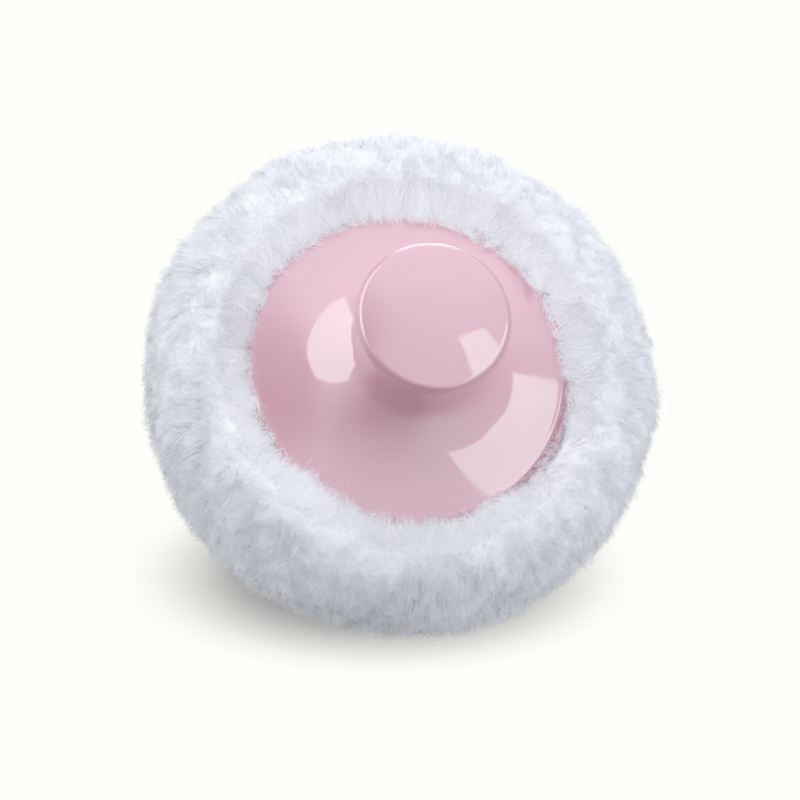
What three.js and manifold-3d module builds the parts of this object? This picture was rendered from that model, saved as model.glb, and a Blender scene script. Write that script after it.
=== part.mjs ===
// A powder puff: a glossy knob handle snapped onto a plush pad.
// Millimetres, +Z up, with the origin on the table under the middle of the pad.
import * as THREE from "three";
import { mergeVertices } from "three/addons/utils/BufferGeometryUtils.js";
import Module from "manifold-3d";

// Fits between pieces
const FIT_GAP = 0.3; // between pieces that nest in each other
const SEAT_GAP = 0.1; // between flat faces that are glued or stacked

// Handle shell: a flared skirt, a slim neck and the cup of the knob
const RIM_DIAMETER = 58;
const RIM_THICKNESS = 2.6; // at the foot of the skirt
const FLANGE_WIDTH = 1.1; // the thin lip outside the foot of the skirt
const FLANGE_THICKNESS = 1.3;
const SHELL_WALL = 1.8;
const FLARE_SLOPE = 9; // degrees, where the skirt leaves the rim
const FLARE_REACH = 11; // how far the skirt keeps that slope
const FLARE_SWEEP = 8; // how far below the waist of the neck the skirt turns upright
const NECK_DIAMETER = 13;
const NECK_RISE = 15; // from the middle of the rim to the waist of the neck
const KNOB_DIAMETER = 26; // across the cap
const KNOB_RISE = 24.5; // from the middle of the rim to the lower edge of the knob
const KNOB_SWEEP = 5; // how far above its waist the neck stays upright
const KNOB_UNDERCUT = 38; // degrees, where the underside meets the knob's edge
const KNOB_UNDERCUT_REACH = 5.7;
const SNAP_LIP = 1; // the ring inside the neck that the snap post hooks over
const SNAP_LIP_HEIGHT = 1.6;

// Knob cap: a shallow dome that closes the cup
const CAP_OVERHANG = 0.6; // past the cup, so that the seam lies out of sight
const CAP_EDGE = 2;
const CAP_ROUND = 0.9;
const CAP_UNDER_ROUND = 0.5;
const CAP_DOME = 1;
const SPIGOT_WALL = 1.2;
const SPIGOT_DEPTH = 0.8;

// Foam pad and the plate that is let into its top
const FOAM_OVERHANG = 1; // past the rim of the handle
const FOAM_EDGE = 9.3; // thickness of the rounded edge
const FOAM_CROWN = 1.5; // how far the face bulges below the edge
const PLATE_MARGIN = 1.35; // from the plate to the end of the foam's flat top
const PLATE_THICKNESS = 1.8;
const POST_WALL = 1;
const BARB_CATCH = 0.4; // how far the barb hooks over the snap lip
const BARB_HEIGHT = 2.4;
const BARB_LAND = 0.7;
const SPLIT_WIDTH = 1;
const SPLIT_DEPTH = 9;

// Plush: the knitted cloth, its gathered hem and the pile that stands on it
const CLOTH_THICKNESS = 1.2;
const HEM_FREE = 4; // hem inside the glue ring, where the gathering thread runs
const THREAD_DIAMETER = 0.7;
const STITCH_COUNT = 10;
const STITCH_LIFT = 0.5;
const GLUE_INSET = 0.35; // from the glue ring to the end of the pad's flat top
const GLUE_WIDTH = 6;
const GLUE_THICKNESS = 0.5;
const STAND_PILE = 9; // pile between the table and the cloth
const SIDE_PILE = 13.2; // pile between the side of the cloth and the widest ring
const REST_FACE_DIAMETER = 60;
const WAIST_DROP = 7.5; // from the top of the rim down to the widest ring
const CREST_RISE = 4.6; // from the top of the rim up to the crest of the pile
const CREST_RUN = 5.2; // from the rim out to the crest

// Fineness of the round surfaces
const SEGMENTS = 40;
const ROUND_STEPS = 6;
const SWEEP_STEPS = 9;
const EDGE_STEPS = 8;
const CROWN_STEPS = 3;

// Sizes that follow from the driving dimensions
const rimRadius = RIM_DIAMETER / 2;
const rimMiddle = RIM_THICKNESS / 2;
const flangeRound = FLANGE_THICKNESS / 2;
const shoulderRound = RIM_THICKNESS - FLANGE_THICKNESS; // between the flange and the skirt
const skirtRadius = rimRadius - FLANGE_WIDTH - shoulderRound;
const neckRadius = NECK_DIAMETER / 2;
const knobRadius = KNOB_DIAMETER / 2;
const cupOuter = knobRadius - CAP_OVERHANG;
const cupRadius = cupOuter - SHELL_WALL;
const snapRadius = neckRadius - SHELL_WALL - SNAP_LIP;
const neckHeight = rimMiddle + NECK_RISE; // above the underside of the rim
const knobHeight = rimMiddle + KNOB_RISE;

const foamRadius = rimRadius + FOAM_OVERHANG;
const foamRound = FOAM_EDGE / 2;
const flatRadius = foamRadius - foamRound; // where the flat top of the pad ends
const clothInset = FIT_GAP;
const clothOutset = FIT_GAP + CLOTH_THICKNESS;
const pileInset = clothOutset + FIT_GAP;
const foamBottom = STAND_PILE + pileInset;
const foamTop = foamBottom + FOAM_CROWN + FOAM_EDGE;
const plateRadius = flatRadius - PLATE_MARGIN;
const plateBottom = foamTop - PLATE_THICKNESS;
const hemTop = foamTop + clothOutset;
const glueOuter = flatRadius - GLUE_INSET;
const glueInner = glueOuter - GLUE_WIDTH;
const hemRadius = glueInner - HEM_FREE;
const handleBottom = hemTop + GLUE_THICKNESS + 2 * SEAT_GAP;
const lipRadius = rimRadius + FIT_GAP;
const lipHeight = handleBottom + RIM_THICKNESS;

const PINK_ABS = { color: 0xe3bccb, roughness: 0.2, metalness: 0 };
const NATURAL_PP = { color: 0xf1efea, roughness: 0.45, metalness: 0 };
const WHITE_FOAM = { color: 0xf4f0e6, roughness: 0.95, metalness: 0 };
const WHITE_KNIT = { color: 0xeeeef2, roughness: 0.9, metalness: 0 };
const WHITE_PILE = { color: 0xf0f2f6, roughness: 0.95, metalness: 0 };
const WHITE_THREAD = { color: 0xf7f7f5, roughness: 0.7, metalness: 0 };
const CLEAR_GLUE = { color: 0xefe6cf, roughness: 0.35, metalness: 0 };

const wasm = await Module();
wasm.setup();

// Points of [radius, height] along an ellipse, between two angles in degrees.
function arc(radius, height, across, up, from, to, steps = ROUND_STEPS) {
  const turn = Math.PI / 180;
  const curve = new THREE.EllipseCurve(radius, height, across, up, from * turn, to * turn, to < from);
  return curve.getPoints(steps).map((point) => [point.x, point.y]);
}

// Points of [radius, height] along a cubic curve with four control points.
function sweep(...control) {
  const curve = new THREE.CubicBezierCurve(...control.map((point) => new THREE.Vector2(...point)));
  return curve.getPoints(SWEEP_STEPS).map((point) => [point.x, point.y]);
}

// The same line moved to its left by a wall thickness.
function inset(line, wall) {
  return line.map(([radius, height], i) => {
    const before = line[Math.max(i - 1, 0)];
    const after = line[Math.min(i + 1, line.length - 1)];
    const across = after[0] - before[0];
    const up = after[1] - before[1];
    const length = Math.hypot(across, up);
    return [radius - (up / length) * wall, height + (across / length) * wall];
  });
}

// Where a line crosses a radius (axis 0) or a height (axis 1): the other coordinate there.
function crossing(line, axis, value) {
  for (let i = 1; i < line.length; i++) {
    const share = (value - line[i - 1][axis]) / (line[i][axis] - line[i - 1][axis]);
    if (share >= 0 && share <= 1) {
      return THREE.MathUtils.lerp(line[i - 1][1 - axis], line[i][1 - axis], share);
    }
  }
  return line[line.length - 1][1 - axis];
}

// Turns an outline about Z. It runs counterclockwise, from axis to axis or round to its start.
function turned(outline) {
  const onAxis = outline[0][0] === 0;
  const closed = onAxis ? outline : [...outline, outline[0]];
  const points = closed.map((point) => new THREE.Vector2(...point));
  return new THREE.LatheGeometry(points, SEGMENTS).rotateX(Math.PI / 2);
}

function solidOf(geometry) {
  const bare = geometry.clone().deleteAttribute("normal").deleteAttribute("uv");
  const merged = mergeVertices(bare);
  const mesh = new wasm.Mesh({
    numProp: 3,
    vertProperties: merged.attributes.position.array,
    triVerts: new Uint32Array(merged.index.array),
  });
  return new wasm.Manifold(mesh);
}

function geometryOf(solid) {
  const { vertProperties, triVerts } = solid.getMesh();
  return new THREE.BufferGeometry()
    .setAttribute("position", new THREE.BufferAttribute(vertProperties, 3))
    .setIndex(new THREE.BufferAttribute(triVerts, 1));
}

function piece(name, geometry, finish, height = 0) {
  const mesh = new THREE.Mesh(geometry, new THREE.MeshStandardMaterial(finish));
  mesh.name = name;
  mesh.position.z = height;
  return mesh;
}

// The outside of the handle from the rim over the skirt and the neck to the knob's lower edge.
const skirtLine = sweep(
  [skirtRadius, RIM_THICKNESS],
  [
    skirtRadius - FLARE_REACH * Math.cos(THREE.MathUtils.degToRad(FLARE_SLOPE)),
    RIM_THICKNESS + FLARE_REACH * Math.sin(THREE.MathUtils.degToRad(FLARE_SLOPE)),
  ],
  [neckRadius, neckHeight - FLARE_SWEEP],
  [neckRadius, neckHeight],
);
const knobLine = sweep(
  [neckRadius, neckHeight],
  [neckRadius, neckHeight + KNOB_SWEEP],
  [
    cupOuter - KNOB_UNDERCUT_REACH * Math.cos(THREE.MathUtils.degToRad(KNOB_UNDERCUT)),
    knobHeight - KNOB_UNDERCUT_REACH * Math.sin(THREE.MathUtils.degToRad(KNOB_UNDERCUT)),
  ],
  [cupOuter, knobHeight],
);
const skirtInside = inset(skirtLine, SHELL_WALL);
const knobInside = inset(knobLine, SHELL_WALL);
const cupFloor = crossing(knobInside, 0, cupRadius);
const seamHeight = cupFloor + SPIGOT_DEPTH + FIT_GAP;
const snapUnder = neckHeight - SNAP_LIP_HEIGHT;

// Pink moulding, hollow all the way up, with the snap lip in its neck.
function handleShell() {
  const outline = [
    [glueInner, 0],
    ...arc(rimRadius - flangeRound, flangeRound, flangeRound, flangeRound, -90, 90),
    ...arc(skirtRadius, FLANGE_THICKNESS, shoulderRound, shoulderRound, 0, 90),
    ...skirtLine.slice(1),
    ...knobLine.slice(1),
    [cupOuter, seamHeight],
    [cupRadius, seamHeight],
    [cupRadius, cupFloor],
    ...knobInside.filter(([radius, height]) => radius < cupRadius && height > neckHeight).reverse(),
    [neckRadius - SHELL_WALL, neckHeight],
    [snapRadius, neckHeight],
    [snapRadius, snapUnder],
    [crossing(skirtInside, 1, snapUnder), snapUnder],
    ...skirtInside.filter(([radius, height]) => radius < glueInner && height < snapUnder).reverse(),
    [glueInner, crossing(skirtInside, 0, glueInner)],
  ];
  return piece("handle_shell", turned(outline), PINK_ABS);
}

// Domed disc with a spigot ring that drops into the cup of the knob.
function knobCap() {
  const spigotRadius = cupRadius - FIT_GAP;
  const domeRadius = knobRadius - CAP_ROUND;
  const outline = [
    [0, 0],
    [spigotRadius - SPIGOT_WALL, 0],
    [spigotRadius - SPIGOT_WALL, -SPIGOT_DEPTH],
    [spigotRadius, -SPIGOT_DEPTH],
    [spigotRadius, 0],
    ...arc(knobRadius - CAP_UNDER_ROUND, CAP_UNDER_ROUND, CAP_UNDER_ROUND, CAP_UNDER_ROUND, -90, 0),
    ...arc(domeRadius, CAP_EDGE - CAP_ROUND, CAP_ROUND, CAP_ROUND, 0, 90),
    ...arc(0, CAP_EDGE, domeRadius, CAP_DOME, 0, 90).slice(1, -1),
    [0, CAP_EDGE + CAP_DOME],
  ];
  return piece("knob_cap", turned(outline), PINK_ABS, seamHeight + SEAT_GAP);
}

// Disc let into the foam, with a split post that hooks over the snap lip.
function basePlate() {
  const postRadius = snapRadius - FIT_GAP;
  const barbRadius = snapRadius + BARB_CATCH;
  const barbBottom = handleBottom + neckHeight + FIT_GAP - plateBottom;
  const postTop = barbBottom + BARB_HEIGHT;
  const outline = [
    [postRadius - POST_WALL, 0],
    [plateRadius, 0],
    [plateRadius, PLATE_THICKNESS],
    [postRadius, PLATE_THICKNESS],
    [postRadius, barbBottom],
    [barbRadius, barbBottom],
    [barbRadius, barbBottom + BARB_LAND],
    [postRadius, postTop],
    [postRadius - POST_WALL, postTop],
  ];
  const split = new THREE.BoxGeometry(2 * barbRadius + SPLIT_WIDTH, SPLIT_WIDTH, 2 * SPLIT_DEPTH);
  split.translate(0, 0, postTop);
  const cross = split.clone().rotateZ(Math.PI / 2);
  const solid = solidOf(turned(outline)).subtract(solidOf(split)).subtract(solidOf(cross));
  return piece("base_plate", geometryOf(solid), NATURAL_PP, plateBottom);
}

// The outside of the pad, from the middle of its face round the edge to its flat top.
function padLine(outset, topAngle = 90) {
  const round = foamRound + outset;
  const face = Array.from({ length: CROWN_STEPS }, (_, i) => {
    const share = i / CROWN_STEPS;
    return [flatRadius * share, foamBottom - outset + FOAM_CROWN * share * share];
  });
  return [...face, ...arc(flatRadius, foamTop - foamRound, round, round, -90, topAngle, EDGE_STEPS)];
}

function foamCore() {
  const outline = [
    ...padLine(0),
    [plateRadius + FIT_GAP, foamTop],
    [plateRadius + FIT_GAP, plateBottom - SEAT_GAP],
    [0, plateBottom - SEAT_GAP],
  ];
  return piece("foam_core", turned(outline), WHITE_FOAM);
}

// Knitted cloth drawn round the pad, with its hem gathered in on top.
function backingCloth() {
  const outline = [
    ...padLine(clothOutset),
    [hemRadius, hemTop],
    [hemRadius, hemTop - CLOTH_THICKNESS],
    ...padLine(clothInset).reverse(),
  ];
  return piece("backing_cloth", turned(outline), WHITE_KNIT);
}

// Closed loop of thread that rises and falls with its stitches.
function gatheringThread() {
  const radius = THREAD_DIAMETER / 2;
  const loop = new THREE.TorusGeometry(hemRadius + HEM_FREE / 2, radius, ROUND_STEPS, SEGMENTS);
  const place = loop.getAttribute("position");
  for (let i = 0; i < place.count; i++) {
    const angle = Math.atan2(place.getY(i), place.getX(i));
    place.setZ(i, place.getZ(i) + (STITCH_LIFT * (1 + Math.cos(STITCH_COUNT * angle))) / 2);
  }
  return piece("gathering_thread", loop, WHITE_THREAD, hemTop + SEAT_GAP + radius);
}

function glueRing() {
  const outline = [
    [glueInner, 0],
    [glueOuter, 0],
    [glueOuter, GLUE_THICKNESS],
    [glueInner, GLUE_THICKNESS],
  ];
  return piece("glue_ring", turned(outline), CLEAR_GLUE, hemTop + SEAT_GAP);
}

// Ring and face of pile round the pad, with a flat patch that the puff rests on.
function pile() {
  const restRadius = REST_FACE_DIAMETER / 2;
  const waistRadius = foamRadius + pileInset + SIDE_PILE;
  const waistHeight = lipHeight - WAIST_DROP;
  const crestRadius = lipRadius + CREST_RUN;
  const crestHeight = lipHeight + CREST_RISE;
  const rimReach = Math.min((lipRadius - flatRadius) / (foamRound + pileInset), 1);
  const rimAngle = THREE.MathUtils.radToDeg(Math.acos(rimReach));
  const outline = [
    [0, 0],
    ...arc(restRadius, waistHeight, waistRadius - restRadius, waistHeight, -90, 0),
    ...arc(crestRadius, waistHeight, waistRadius - crestRadius, crestHeight - waistHeight, 0, 90).slice(1),
    ...arc(crestRadius, lipHeight, CREST_RUN, CREST_RISE, 90, 180).slice(1),
    ...padLine(pileInset, rimAngle).reverse(),
  ];
  return piece("pile", turned(outline), WHITE_PILE);
}

const handle = new THREE.Group();
handle.position.z = handleBottom;
handle.add(handleShell(), knobCap());

const pad = new THREE.Group();
pad.add(basePlate(), foamCore(), backingCloth(), gatheringThread(), glueRing(), pile());

const powderPuff = new THREE.Group();
powderPuff.add(handle, pad);

export default powderPuff;
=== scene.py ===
"""Looks of a round plush powder puff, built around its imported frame.

Sizes are in millimetres, as on a drawing of the puff, and turn to metres when a mesh is made.
"""

import logging
import math
from dataclasses import dataclass, field
from enum import Enum
from typing import Any, Mapping

import bpy
import numpy as np
from mathutils import Matrix, Vector

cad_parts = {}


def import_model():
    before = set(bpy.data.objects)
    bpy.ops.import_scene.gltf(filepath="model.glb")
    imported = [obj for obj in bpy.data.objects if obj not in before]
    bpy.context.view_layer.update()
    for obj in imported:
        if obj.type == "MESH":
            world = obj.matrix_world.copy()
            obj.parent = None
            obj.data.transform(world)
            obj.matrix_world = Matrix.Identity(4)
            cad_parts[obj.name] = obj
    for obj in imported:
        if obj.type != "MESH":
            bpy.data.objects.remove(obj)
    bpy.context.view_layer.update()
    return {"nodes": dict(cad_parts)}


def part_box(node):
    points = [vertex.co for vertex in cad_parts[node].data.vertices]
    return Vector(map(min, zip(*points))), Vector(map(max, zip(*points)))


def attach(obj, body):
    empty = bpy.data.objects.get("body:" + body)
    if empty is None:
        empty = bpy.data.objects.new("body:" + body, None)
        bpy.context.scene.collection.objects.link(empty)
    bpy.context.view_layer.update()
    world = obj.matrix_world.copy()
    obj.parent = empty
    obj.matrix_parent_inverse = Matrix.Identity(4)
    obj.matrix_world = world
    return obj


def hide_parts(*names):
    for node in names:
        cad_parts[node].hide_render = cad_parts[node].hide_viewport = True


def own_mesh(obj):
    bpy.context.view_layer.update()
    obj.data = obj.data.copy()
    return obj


log = logging.getLogger("powder_puff")

MM = 0.001
STRAND_MAP = "OFBake"
SEED = 41
ON_AXIS = 1e-6
TOUCH = 0.01
GOLDEN_TURN = math.pi * (3 - math.sqrt(5))


class Body(Enum):
    """Moving bodies of the frame."""

    PAD = "pad"
    HANDLE = "handle"


class Slot(Enum):
    """Material slots of the record."""

    ABS = "pink_abs"
    POLYPROPYLENE = "natural_polypropylene"
    FOAM = "white_foam"
    KNIT = "white_knit"
    THREAD = "white_thread"
    GLUE = "hot_melt_glue"
    PILE = "white_pile"


def linear(colour: str) -> tuple[float, float, float, float]:
    """Turn an sRGB hex colour into linear light.

    Args:
        colour: Six hex digits after a hash sign.

    Returns:
        Linear red, green, blue and full alpha.
    """
    shares = [int(colour[i:i + 2], 16) / 255 for i in (1, 3, 5)]
    red, green, blue = (s / 12.92 if s <= 0.04045 else ((s + 0.055) / 1.055) ** 2.4 for s in shares)
    return red, green, blue, 1.0


def add_node(
    tree: bpy.types.NodeTree,
    kind: str,
    settings: Mapping[str | int, Any] | None = None,
    links: Mapping[str | int, bpy.types.NodeSocket] | None = None,
) -> bpy.types.Node:
    """Add a shader node with its settings and links.

    Args:
        tree: Node tree that gets the node.
        kind: Type of the node.
        settings: Values by input, or by property where no input has that name.
        links: Sockets that feed the inputs.

    Returns:
        The new node.
    """
    node = tree.nodes.new(kind)
    for name, value in (settings or {}).items():
        if isinstance(name, int) or name in node.inputs:
            node.inputs[name].default_value = value
        else:
            setattr(node, name, value)
    for name, socket in (links or {}).items():
        tree.links.new(socket, node.inputs[name])
    return node


def band_scale(spacing: float) -> float:
    """Turn the spacing of bands, in millimetres, into the scale of a wave pattern."""
    return math.pi / (10 * spacing * MM)


def bare_material(name: str) -> bpy.types.Material:
    """Make a material with no nodes in it.

    Args:
        name: Name of the material.

    Returns:
        The new material.
    """
    material = bpy.data.materials.new(name)
    material.use_nodes = True
    material.node_tree.nodes.clear()
    return material


def node_box(node: str) -> tuple[np.ndarray, np.ndarray]:
    """Read the box of a frame node.

    Args:
        node: Name of the node.

    Returns:
        Lowest and highest corner, in millimetres.
    """
    low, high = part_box(node)
    return np.array(low) / MM, np.array(high) / MM


def arc(
    centre: tuple[float, float], radii: tuple[float, float], start: float, end: float, steps: int
) -> np.ndarray:
    """Follow part of an ellipse.

    Args:
        centre: Middle of the ellipse, as radius and height.
        radii: Half of its width and half of its height.
        start: First angle, in degrees.
        end: Last angle, in degrees.
        steps: Number of stretches.

    Returns:
        A row of radius and height for each point.
    """
    turn = np.radians(np.linspace(start, end, steps + 1))
    return np.column_stack((centre[0] + radii[0] * np.cos(turn), centre[1] + radii[1] * np.sin(turn)))


def sweep(control: list[tuple[float, float]], steps: int) -> np.ndarray:
    """Follow a cubic curve.

    Args:
        control: Its four control points, as radius and height.
        steps: Number of stretches.

    Returns:
        A row of radius and height for each point.
    """
    first, second, third, last = np.array(control, float)
    t = np.linspace(0, 1, steps + 1)[:, None]
    return (1 - t) ** 3 * first + 3 * t * (1 - t) ** 2 * second + 3 * t * t * (1 - t) * third + t ** 3 * last


def inset(line: np.ndarray, wall: float | np.ndarray) -> np.ndarray:
    """Move a line to its left.

    Args:
        line: Rows of radius and height.
        wall: How far, for the whole line or for each point.

    Returns:
        The moved line.
    """
    across, up = np.gradient(line, axis=0).T
    left = np.column_stack((-up, across)) / np.hypot(across, up)[:, None]
    return line + left * np.reshape(wall, (-1, 1))


def turned(outline: np.ndarray, segments: int) -> tuple[np.ndarray, np.ndarray, np.ndarray]:
    """Turn an outline about the upright axis.

    Args:
        outline: Rows of radius and height, counterclockwise, from axis to axis or round to the start.
        segments: Number of stretches round the axis.

    Returns:
        Points, the point numbers of all faces in a row, and the number of corners of each face.
    """
    turn = np.arange(segments) * 2 * math.pi / segments
    radius, height = outline.T[:, :, None]
    points = np.stack((radius * np.cos(turn), radius * np.sin(turn), height + 0 * turn), axis=-1)
    index = np.arange(len(outline) * segments).reshape(len(outline), segments)
    on_axis = outline[:, 0] < ON_AXIS
    index[on_axis] = index[on_axis][:, :1]
    below, above = index, np.roll(index, -1, axis=0)
    if on_axis[0]:
        below, above = below[:-1], above[:-1]
    quads = np.stack((below, np.roll(below, -1, axis=1), np.roll(above, -1, axis=1), above), axis=-1)
    quads = quads.reshape(-1, 4)
    kept = np.ones(quads.shape, bool)
    kept[:, 0] = quads[:, 0] != quads[:, 1]
    kept[:, 3] = quads[:, 2] != quads[:, 3]
    used, corners = np.unique(quads[kept], return_inverse=True)
    return points.reshape(-1, 3)[used], corners, kept.sum(axis=1)


def mesh_piece(
    name: str,
    points: np.ndarray,
    corners: np.ndarray,
    sizes: np.ndarray,
    material: bpy.types.Material,
    crease: float | None = None,
) -> bpy.types.Object:
    """Make a smooth-shaded mesh.

    Args:
        name: Name of the piece.
        points: Its points, in millimetres.
        corners: Point numbers of all faces in a row.
        sizes: Number of corners of each face.
        material: Finish of the piece.
        crease: Angle in degrees past which an edge stays sharp.

    Returns:
        The new object.
    """
    mesh = bpy.data.meshes.new(name)
    mesh.vertices.add(len(points))
    mesh.vertices.foreach_set("co", (points * MM).astype(np.float32).ravel())
    mesh.loops.add(len(corners))
    mesh.loops.foreach_set("vertex_index", corners.astype(np.int32))
    mesh.polygons.add(len(sizes))
    starts = np.concatenate(([0], np.cumsum(sizes)[:-1]))
    mesh.polygons.foreach_set("loop_start", starts.astype(np.int32))
    mesh.update(calc_edges=True)
    mesh.shade_smooth()
    if crease is not None:
        mesh.set_sharp_from_angle(angle=math.radians(crease))
    mesh.materials.append(material)
    piece = bpy.data.objects.new(name, mesh)
    bpy.context.scene.collection.objects.link(piece)
    return piece


def settle(piece: bpy.types.Object, body: Body, slot: Slot, *nodes: str) -> None:
    """Tie a piece to the frame.

    Args:
        piece: The piece.
        body: Body that it moves with.
        slot: Record slot that its finish comes from; not used.
        nodes: Frame nodes that it stands for.
    """
    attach(piece, body.value)
    if nodes:
        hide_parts(*nodes)
    log.info("%s: %d faces, on %s", piece.name, len(piece.data.polygons), body.value)


@dataclass(frozen=True)
class Finish:
    """A surface: what it is made of and what that gives the eye."""

    name: str
    colour: str
    roughness: float
    ior: float = 1.5

    def material(self) -> bpy.types.Material:
        """Make the finish's material.

        Returns:
            The new material.
        """
        material = bpy.data.materials.new(self.name)
        material.use_nodes = True
        tree = material.node_tree
        shader = tree.nodes["Principled BSDF"]
        shader.inputs["Base Color"].default_value = linear(self.colour)
        shader.inputs["Roughness"].default_value = self.roughness
        shader.inputs["IOR"].default_value = self.ior
        self.pattern(tree, shader)
        return material

    def pattern(self, tree: bpy.types.NodeTree, shader: bpy.types.Node) -> None:
        """Draw what makes the surface more than one colour.

        Args:
            tree: Node tree of the material.
            shader: Its main shader.
        """
        raise NotImplementedError

    def mottle(
        self, tree: bpy.types.NodeTree, shader: bpy.types.Node, other: str, grain: float
    ) -> bpy.types.Node:
        """Vary the colour between two near shades.

        Args:
            tree: Node tree of the material.
            shader: Its main shader.
            other: The second shade.
            grain: Width of a patch, in millimetres.

        Returns:
            The noise behind the patches.
        """
        spot = {"Vector": add_node(tree, "ShaderNodeTexCoord").outputs["Object"]}
        noise = add_node(tree, "ShaderNodeTexNoise", {"Scale": 1 / (grain * MM), "Detail": 3.0}, spot)
        shades = {"Color1": linear(self.colour), "Color2": linear(other)}
        mix = add_node(tree, "ShaderNodeMixRGB", shades, {"Fac": noise.outputs["Fac"]})
        tree.links.new(mix.outputs["Color"], shader.inputs["Base Color"])
        return noise

    def relief(
        self, tree: bpy.types.NodeTree, shader: bpy.types.Node, height: bpy.types.NodeSocket, depth: float
    ) -> None:
        """Raise the surface by a pattern.

        Args:
            tree: Node tree of the material.
            shader: Its main shader.
            height: Pattern of heights, from 0 to 1.
            depth: Height of the pattern, in millimetres.
        """
        raised = {"Strength": 1.0, "Distance": depth * MM}
        bump = add_node(tree, "ShaderNodeBump", raised, {"Height": height})
        tree.links.new(bump.outputs["Normal"], shader.inputs["Normal"])


@dataclass(frozen=True)
class PolishedAbs(Finish):
    """Injection-moulded ABS from a polished tool: crisp gloss over a faintly wavy skin."""

    name: str = "polished pink ABS"
    colour: str = "#D0A2B1"
    flow_colour: str = "#CD9EAE"
    roughness: float = 0.04
    ior: float = 1.54
    flow_width: float = 14
    wave_width: float = 7
    wave_height: float = 0.012
    smear_width: float = 5
    smear_roughness: float = 0.08
    smear_range: tuple[float, float] = (0.3, 0.7)
    glow: float = 0.12
    glow_reach: float = 2.5
    glow_share: tuple[float, float, float] = (1, 0.45, 0.5)

    def pattern(self, tree: bpy.types.NodeTree, shader: bpy.types.Node) -> None:
        """Draw faint flow shades, handling smears and the wavy skin.

        Args:
            tree: Node tree of the material.
            shader: Its main shader.
        """
        self.mottle(tree, shader, self.flow_colour, self.flow_width)
        spot = {"Vector": add_node(tree, "ShaderNodeTexCoord").outputs["Object"]}
        patches = {"Scale": 1 / (self.smear_width * MM), "Detail": 4.0}
        smear = add_node(tree, "ShaderNodeTexNoise", patches, spot)
        levels = {
            "From Min": self.smear_range[0],
            "From Max": self.smear_range[1],
            "To Min": self.roughness,
            "To Max": self.smear_roughness,
        }
        rough = add_node(tree, "ShaderNodeMapRange", levels, {"Value": smear.outputs["Fac"]})
        tree.links.new(rough.outputs["Result"], shader.inputs["Roughness"])
        waves = {"Scale": 1 / (self.wave_width * MM), "Detail": 1.0}
        wave = add_node(tree, "ShaderNodeTexNoise", waves, spot)
        self.relief(tree, shader, wave.outputs["Fac"], self.wave_height)
        shader.inputs["Subsurface Weight"].default_value = self.glow
        shader.inputs["Subsurface Radius"].default_value = self.glow_share
        shader.inputs["Subsurface Scale"].default_value = self.glow_reach * MM


@dataclass(frozen=True)
class BrushedPile(Finish):
    """Brushed acrylic pile: matt cool-white fibres with painted shade greyer at the root, no two quite
    alike.
    """

    name: str = "brushed white acrylic pile"
    colour: str = "#F5F9FF"
    # Painted shade: the colour at the root of each fibre, darker as if shaded by the pile above it.
    painted_root_shade: str = "#E7ECFB"
    shade_colour: str = "#EFF3FF"
    roughness: float = 0.6
    root_share: float = 0.75
    shade_count: float = 90
    sheen: float = 0.25
    gloss: float = 0.3

    def pattern(self, tree: bpy.types.NodeTree, shader: bpy.types.Node) -> None:
        """Fade each fibre from painted shade at the root to its tip, and give each its own random tint.

        Args:
            tree: Node tree of the material.
            shader: Its main shader.
        """
        strand = add_node(tree, "ShaderNodeUVMap", {"uv_map": STRAND_MAP})
        place = add_node(tree, "ShaderNodeSeparateXYZ", None, {"Vector": strand.outputs["UV"]})
        own = {"noise_dimensions": "1D", "Scale": self.shade_count, "Detail": 0.0}
        shade = add_node(tree, "ShaderNodeTexNoise", own, {"W": place.outputs["X"]})
        shades = {"Color1": linear(self.colour), "Color2": linear(self.shade_colour)}
        tips = add_node(tree, "ShaderNodeMixRGB", shades, {"Fac": shade.outputs["Fac"]})
        # Painted shade fades out from the root along the first part of each fibre.
        reach = {"From Max": self.root_share}
        fade = add_node(tree, "ShaderNodeMapRange", reach, {"Value": place.outputs["Y"]})
        towards_tip = {"Fac": fade.outputs["Result"], "Color2": tips.outputs["Color"]}
        colour = add_node(tree, "ShaderNodeMixRGB", {"Color1": linear(self.painted_root_shade)}, towards_tip)
        tree.links.new(colour.outputs["Color"], shader.inputs["Base Color"])
        shader.inputs["Sheen Weight"].default_value = self.sheen
        shader.inputs["Specular IOR Level"].default_value = self.gloss


@dataclass(frozen=True)
class DenseUnderfur(Finish):
    """Short dense fibres at the foot of the pile: matt, finely tufted, mottled with painted shade greyer
    than the tips.
    """

    name: str = "dense white underfur"
    colour: str = "#F4F8FF"
    # Painted shade, mottled in patches over the underfur.
    painted_shade_colour: str = "#EBF0FD"
    roughness: float = 0.95
    tuft_width: float = 1.2
    tuft_height: float = 0.3

    def pattern(self, tree: bpy.types.NodeTree, shader: bpy.types.Node) -> None:
        """Draw the small tufts and mottle the painted shade over them.

        Args:
            tree: Node tree of the material.
            shader: Its main shader.
        """
        # The same noise raises the tufts and lays on the painted shade.
        tuft = self.mottle(tree, shader, self.painted_shade_colour, self.tuft_width)
        self.relief(tree, shader, tuft.outputs["Fac"], self.tuft_height)


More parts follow.
